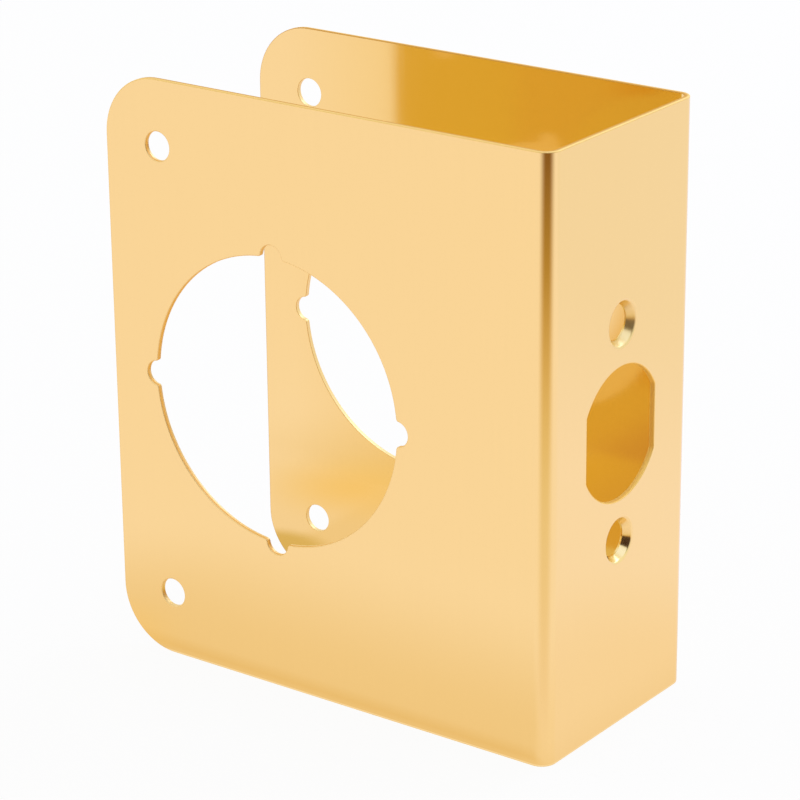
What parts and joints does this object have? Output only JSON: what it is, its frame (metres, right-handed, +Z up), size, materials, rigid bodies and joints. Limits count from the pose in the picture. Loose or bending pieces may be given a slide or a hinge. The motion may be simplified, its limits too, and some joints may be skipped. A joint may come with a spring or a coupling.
{
  "type": "door reinforcer plate",
  "caption": "Folded brass U plate that wraps the edge of a door round its lock, with a notched cross bore, a latch opening and screw holes.",
  "frame": {"origin": "below the middle of the plate, level with its lower edge", "axes": "+X from the free edges to the edge plate that covers the narrow edge of the door, +Y across the door's thickness, +Z up along the door's edge"},
  "size_m": [0.0984, 0.0464, 0.1143],
  "materials": {
    "brass_sheet": "bright polished brass with a faint straight grain, clear coated"
  },
  "bodies": {
    "root": {"reinforcer_plate": "brass_sheet"}
  },
  "joints": []
}
